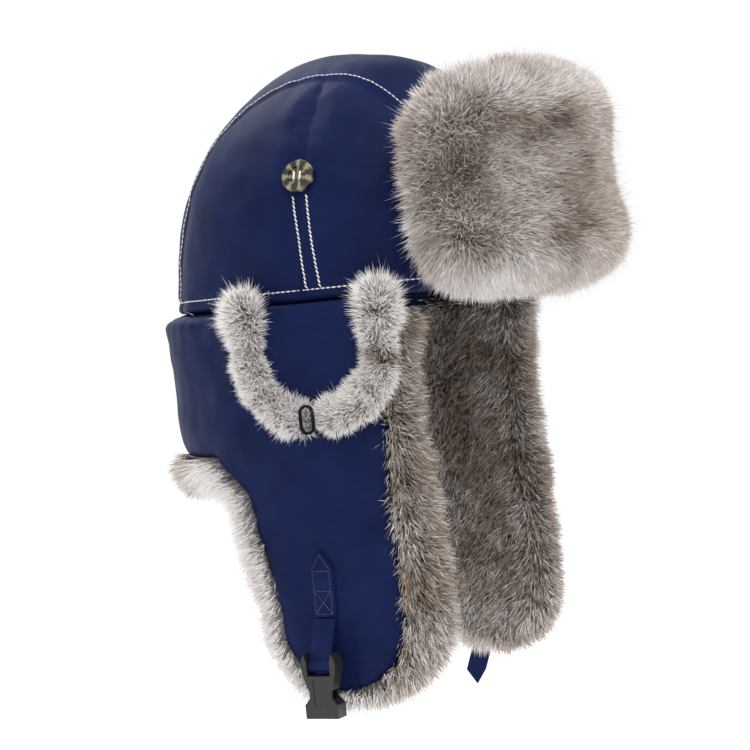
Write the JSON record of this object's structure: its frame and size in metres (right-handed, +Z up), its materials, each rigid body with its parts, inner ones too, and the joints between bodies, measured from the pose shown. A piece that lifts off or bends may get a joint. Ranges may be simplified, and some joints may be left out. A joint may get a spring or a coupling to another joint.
{
  "type": "trapper hat",
  "caption": "Padded trapper hat with fur visor, fur-lined folding ear flaps, buttoned ear covers and a side-release chin buckle",
  "frame": {"origin": "middle of the head opening, in the plane of the crown's hem", "axes": "+Z up to the crown, -Y the front with the visor, -X the wearer's right"},
  "size_m": [0.2261, 0.2775, 0.387],
  "materials": {
    "navy_fabric": "smooth fine weave, soft puckers",
    "grey_fur": "long soft pile with light tips",
    "brown_fur": "long guard hair, grey with brown patches",
    "horn_button": "polished horn pattern",
    "black_plastic": "fine moulded grain",
    "white_thread": "twisted thread",
    "navy_webbing": "folded fabric tape, stitched edges",
    "stiff_foam": "plain wadding",
    "quilted_lining": "quilted satin",
    "steel_snap": "plain",
    "sweatband_cloth": "twill tape"
  },
  "bodies": {
    "crown": {"crown_center_panel": "navy_fabric", "crown_side_front_right": "navy_fabric", "crown_side_back_right": "navy_fabric", "crown_side_front_left": "navy_fabric", "crown_side_back_left": "navy_fabric", "crown_padding": "stiff_foam", "crown_lining": "quilted_lining", "sweatband": "sweatband_cloth", "button_right": "horn_button", "button_left": "horn_button", "button_thread_right": "white_thread", "button_thread_left": "white_thread", "neck_shell": "navy_fabric", "neck_fur": "grey_fur", "visor_snap_stud": "steel_snap"},
    "visor": {"visor_shell": "navy_fabric", "visor_stiffener": "stiff_foam", "visor_fur": "brown_fur", "visor_snap_socket": "steel_snap"},
    "right_earflap": {"right_earflap_shell": "navy_fabric", "right_earflap_padding": "stiff_foam", "right_earflap_fur": "grey_fur", "right_strap_anchor": "navy_webbing"},
    "left_earflap": {"left_earflap_shell": "navy_fabric", "left_earflap_padding": "stiff_foam", "left_earflap_fur": "grey_fur", "left_strap_anchor": "navy_webbing"},
    "right_ear_cover": {"right_ear_cover_tongue": "navy_fabric", "right_ear_cover_fur_front": "grey_fur", "right_ear_cover_fur_back": "grey_fur", "right_ear_cover_loop": "navy_webbing"},
    "left_ear_cover": {"left_ear_cover_tongue": "navy_fabric", "left_ear_cover_fur_front": "grey_fur", "left_ear_cover_fur_back": "grey_fur", "left_ear_cover_loop": "navy_webbing"},
    "right_strap": {"right_strap_webbing": "navy_webbing"},
    "left_strap": {"left_strap_webbing": "navy_webbing"},
    "socket": {"buckle_socket": "black_plastic"},
    "plug": {"buckle_plug": "black_plastic", "left_strap_tail": "navy_webbing"},
    "arm_front": {"release_arm_front": "black_plastic"},
    "arm_back": {"release_arm_back": "black_plastic"}
  },
  "joints": [
    {"name": "visor_fold", "type": "hinge", "parent": "crown", "child": "visor", "pos_m": [0, -0.1138, -0.0032], "axis": [1, 0, 0], "range_deg": [0, 110]},
    {"name": "right_earflap_fold", "type": "hinge", "parent": "crown", "child": "right_earflap", "pos_m": [-0.1, 0, 0], "axis": [0, 1, 0], "range_deg": [0, 135]},
    {"name": "left_earflap_fold", "type": "hinge", "parent": "crown", "child": "left_earflap", "pos_m": [0.1, 0, 0], "axis": [0, -1, 0], "range_deg": [0, 135]},
    {"name": "right_ear_cover_lift", "type": "hinge", "parent": "right_earflap", "child": "right_ear_cover", "pos_m": [-0.104, 0, -0.001], "axis": [0, -1, 0], "range_deg": [-178, 0]},
    {"name": "left_ear_cover_lift", "type": "hinge", "parent": "left_earflap", "child": "left_ear_cover", "pos_m": [0.104, 0, -0.001], "axis": [0, 1, 0], "range_deg": [-178, 0]},
    {"name": "right_strap_swing", "type": "hinge", "parent": "right_earflap", "child": "right_strap", "pos_m": [-0.09966, -0.011, -0.173], "axis": [0, 1, 0], "range_deg": [0, 115]},
    {"name": "left_strap_swing", "type": "hinge", "parent": "left_earflap", "child": "left_strap", "pos_m": [0.09966, -0.011, -0.173], "axis": [0, -1, 0], "range_deg": [0, 115]},
    {"name": "socket_swivel", "type": "hinge", "parent": "right_strap", "child": "socket", "pos_m": [-0.10806, -0.011, -0.197], "axis": [0, -1, 0], "range_deg": [-90, 0]},
    {"name": "plug_swivel", "type": "hinge", "parent": "left_strap", "child": "plug", "pos_m": [0.10806, -0.011, -0.197], "axis": [0, 1, 0], "range_deg": [-35, 0]},
    {"name": "release_front", "type": "hinge", "parent": "plug", "child": "arm_front", "pos_m": [0.10806, -0.0141, -0.2046], "axis": [1, 0, 0], "range_deg": [0, 3], "stiffness_Nm_per_rad": 0.02},
    {"name": "release_back", "type": "hinge", "parent": "plug", "child": "arm_back", "pos_m": [0.10806, -0.0079, -0.2046], "axis": [-1, 0, 0], "range_deg": [0, 3], "stiffness_Nm_per_rad": 0.02}
  ]
}
